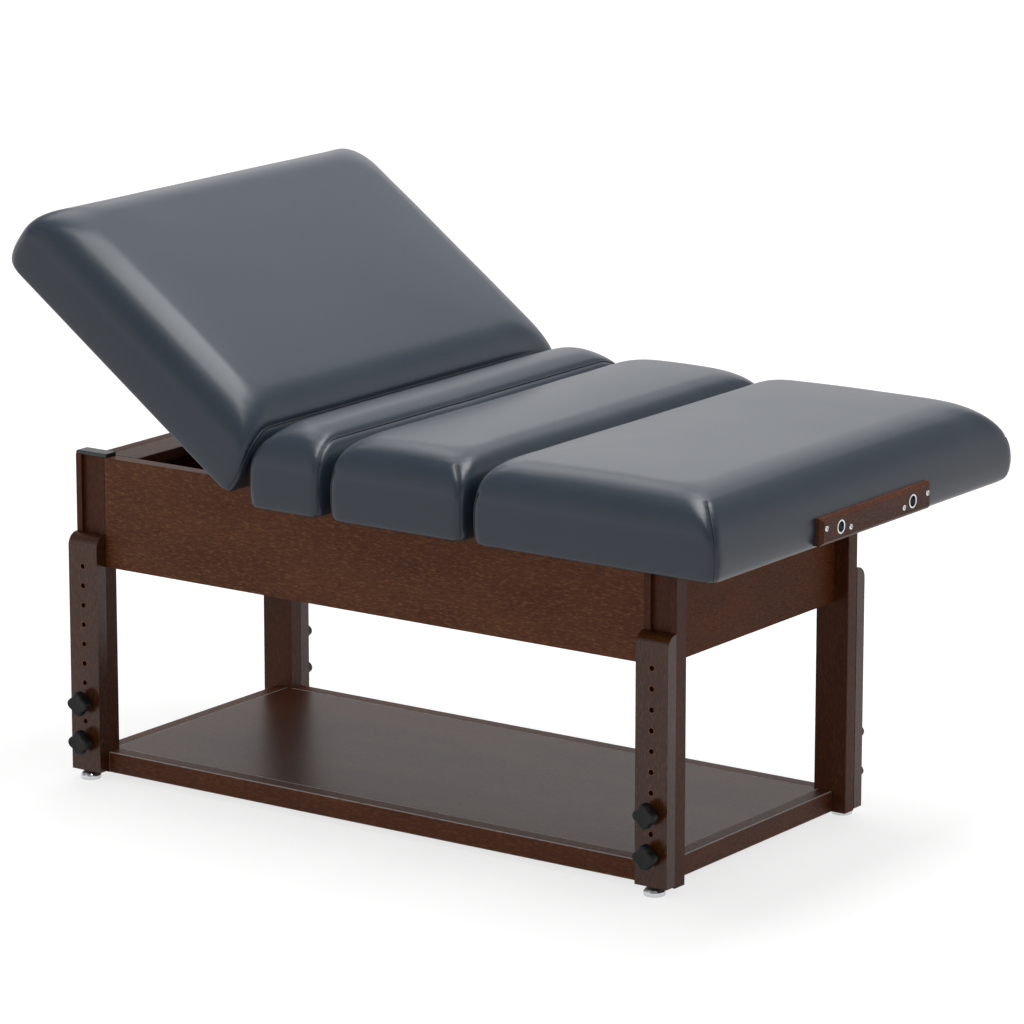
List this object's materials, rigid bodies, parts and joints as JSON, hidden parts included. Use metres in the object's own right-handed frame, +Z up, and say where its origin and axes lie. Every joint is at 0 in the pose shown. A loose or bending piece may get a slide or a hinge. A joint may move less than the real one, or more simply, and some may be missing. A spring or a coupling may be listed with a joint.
{
  "type": "spa treatment table",
  "caption": "Wooden spa treatment table with a storage shelf, a padded vinyl top with tilting back and lifting knee sections, and adjustable legs",
  "frame": {"origin": "on the floor, under the middle of the table", "axes": "+X runs to the foot end, +Y across to the far side, +Z up"},
  "size_m": [1.341, 0.826, 0.9296],
  "materials": {
    "vinyl": "satin vinyl-coated fabric over foam",
    "dark_wood": "dark walnut stain, satin lacquer",
    "leg_wood": "walnut stain, satin lacquer",
    "plywood": "plywood under black backing",
    "black_panel": "black hardboard",
    "rubber": "black moulded rubber",
    "knob_plastic": "black moulded plastic",
    "chrome": "bright plated steel",
    "steel": "zinc plated steel"
  },
  "bodies": {
    "frame": {"back_cross_rail": "dark_wood", "dust_panel": "black_panel", "far_shelf_beam": "dark_wood", "far_side_apron": "dark_wood", "foot_end_apron": "dark_wood", "foot_far_post": "dark_wood", "foot_near_post": "dark_wood", "foot_shelf_beam": "dark_wood", "frame_hinge_leaves": "steel", "head_end_apron": "dark_wood", "head_far_post": "dark_wood", "head_near_post": "dark_wood", "head_rim_board": "dark_wood", "head_shelf_beam": "dark_wood", "hinge_pins": "steel", "knob_inserts": "steel", "near_shelf_beam": "dark_wood", "near_side_apron": "dark_wood", "rest_pads": "rubber", "seat_board": "plywood", "seat_cushion": "vinyl", "shelf_panel": "dark_wood", "stay_brackets": "steel", "thigh_cross_rail": "dark_wood"},
    "back": {"back_board": "plywood", "back_cushion": "vinyl", "back_hinge_leaves": "steel", "back_stay_ears": "steel"},
    "back_stay_tubes": {"back_stay_tubes": "steel"},
    "back_stay_rods": {"back_stay_rods": "steel"},
    "thigh": {"fold_pins": "steel", "thigh_board": "plywood", "thigh_cushion": "vinyl", "thigh_fold_leaves": "steel", "thigh_hinge_leaves": "steel", "thigh_stay_ears": "steel"},
    "thigh_stay_tubes": {"thigh_stay_tubes": "steel"},
    "thigh_stay_rods": {"thigh_stay_rods": "steel"},
    "foot_section": {"face_rest_plate": "dark_wood", "face_rest_sockets": "chrome", "foot_board": "plywood", "foot_cushion": "vinyl", "foot_fold_leaves": "steel", "plate_screws": "chrome"},
    "foot_far_leg": {"foot_far_leg": "leg_wood"},
    "foot_far_levelling_foot": {"foot_far_levelling_foot": "chrome"},
    "foot_far_lower_knob": {"foot_far_lower_knob": "knob_plastic"},
    "foot_far_upper_knob": {"foot_far_upper_knob": "knob_plastic"},
    "foot_near_leg": {"foot_near_leg": "leg_wood"},
    "foot_near_levelling_foot": {"foot_near_levelling_foot": "chrome"},
    "foot_near_lower_knob": {"foot_near_lower_knob": "knob_plastic"},
    "foot_near_upper_knob": {"foot_near_upper_knob": "knob_plastic"},
    "head_far_leg": {"head_far_leg": "leg_wood"},
    "head_far_levelling_foot": {"head_far_levelling_foot": "chrome"},
    "head_far_lower_knob": {"head_far_lower_knob": "knob_plastic"},
    "head_far_upper_knob": {"head_far_upper_knob": "knob_plastic"},
    "head_near_leg": {"head_near_leg": "leg_wood"},
    "head_near_levelling_foot": {"head_near_levelling_foot": "chrome"},
    "head_near_lower_knob": {"head_near_lower_knob": "knob_plastic"},
    "head_near_upper_knob": {"head_near_upper_knob": "knob_plastic"}
  },
  "joints": [
    {"name": "back_tilt", "type": "hinge", "parent": "frame", "child": "back", "pos_m": [-0.196, 0, 0.5763], "axis": [0, 1, 0], "range_deg": [-36, 6]},
    {"name": "back_stay_swing", "type": "hinge", "parent": "frame", "child": "back_stay_tubes", "pos_m": [-0.241, 0, 0.4263], "axis": [0, 1, 0], "range_deg": [-20.6, 3.6]},
    {"name": "back_stay_extend", "type": "slide", "parent": "back_stay_tubes", "child": "back_stay_rods", "axis": [-0.5157, 0, 0.8567], "range_m": [-0.0806, 0.0136]},
    {"name": "knee_lift", "type": "hinge", "parent": "frame", "child": "thigh", "pos_m": [-0.043, 0, 0.5763], "axis": [0, -1, 0], "range_deg": [0, 20]},
    {"name": "thigh_stay_swing", "type": "hinge", "parent": "frame", "child": "thigh_stay_tubes", "pos_m": [0.002, 0, 0.4263], "axis": [0, -1, 0], "range_deg": [0, 12.1]},
    {"name": "thigh_stay_extend", "type": "slide", "parent": "thigh_stay_tubes", "child": "thigh_stay_rods", "axis": [0.7872, 0, 0.6167], "range_m": [0, 0.0492]},
    {"name": "foot_fold", "type": "hinge", "parent": "thigh", "child": "foot_section", "pos_m": [0.222, 0, 0.5307], "axis": [0, 1, 0], "range_deg": [0, 39.9]},
    {"name": "head_near_leg_slide", "type": "slide", "parent": "frame", "child": "head_near_leg", "axis": [0, 0, -1], "range_m": [0, 0.192]},
    {"name": "head_near_foot_screw", "type": "slide", "parent": "head_near_leg", "child": "head_near_levelling_foot", "axis": [0, 0, -1], "range_m": [0, 0.012]},
    {"name": "head_near_upper_knob_turn", "type": "hinge", "parent": "frame", "child": "head_near_upper_knob", "pos_m": [-0.636, -0.2753, 0.129], "axis": [0, -1, 0], "continuous": true},
    {"name": "head_near_lower_knob_turn", "type": "hinge", "parent": "frame", "child": "head_near_lower_knob", "pos_m": [-0.636, -0.2753, 0.065], "axis": [0, -1, 0], "continuous": true},
    {"name": "head_far_leg_slide", "type": "slide", "parent": "frame", "child": "head_far_leg", "axis": [0, 0, -1], "range_m": [0, 0.192]},
    {"name": "head_far_foot_screw", "type": "slide", "parent": "head_far_leg", "child": "head_far_levelling_foot", "axis": [0, 0, -1], "range_m": [0, 0.012]},
    {"name": "head_far_upper_knob_turn", "type": "hinge", "parent": "frame", "child": "head_far_upper_knob", "pos_m": [-0.636, 0.2753, 0.129], "axis": [0, 1, 0], "continuous": true},
    {"name": "head_far_lower_knob_turn", "type": "hinge", "parent": "frame", "child": "head_far_lower_knob", "pos_m": [-0.636, 0.2753, 0.065], "axis": [0, 1, 0], "continuous": true},
    {"name": "foot_near_leg_slide", "type": "slide", "parent": "frame", "child": "foot_near_leg", "axis": [0, 0, -1], "range_m": [0, 0.192]},
    {"name": "foot_near_foot_screw", "type": "slide", "parent": "foot_near_leg", "child": "foot_near_levelling_foot", "axis": [0, 0, -1], "range_m": [0, 0.012]},
    {"name": "foot_near_upper_knob_turn", "type": "hinge", "parent": "frame", "child": "foot_near_upper_knob", "pos_m": [0.456, -0.2753, 0.129], "axis": [0, -1, 0], "continuous": true},
    {"name": "foot_near_lower_knob_turn", "type": "hinge", "parent": "frame", "child": "foot_near_lower_knob", "pos_m": [0.456, -0.2753, 0.065], "axis": [0, -1, 0], "continuous": true},
    {"name": "foot_far_leg_slide", "type": "slide", "parent": "frame", "child": "foot_far_leg", "axis": [0, 0, -1], "range_m": [0, 0.192]},
    {"name": "foot_far_foot_screw", "type": "slide", "parent": "foot_far_leg", "child": "foot_far_levelling_foot", "axis": [0, 0, -1], "range_m": [0, 0.012]},
    {"name": "foot_far_upper_knob_turn", "type": "hinge", "parent": "frame", "child": "foot_far_upper_knob", "pos_m": [0.456, 0.2753, 0.129], "axis": [0, 1, 0], "continuous": true},
    {"name": "foot_far_lower_knob_turn", "type": "hinge", "parent": "frame", "child": "foot_far_lower_knob", "pos_m": [0.456, 0.2753, 0.065], "axis": [0, 1, 0], "continuous": true}
  ],
  "couplings": [
    {"joint": "back_stay_swing", "follows": "back_tilt", "ratio": 0.5679},
    {"joint": "back_stay_extend", "follows": "back_tilt", "m_per_rad": 0.12808},
    {"joint": "thigh_stay_swing", "follows": "knee_lift", "ratio": 0.5986},
    {"joint": "thigh_stay_extend", "follows": "knee_lift", "m_per_rad": 0.14008},
    {"joint": "foot_fold", "follows": "knee_lift", "ratio": 1.9908}
  ]
}
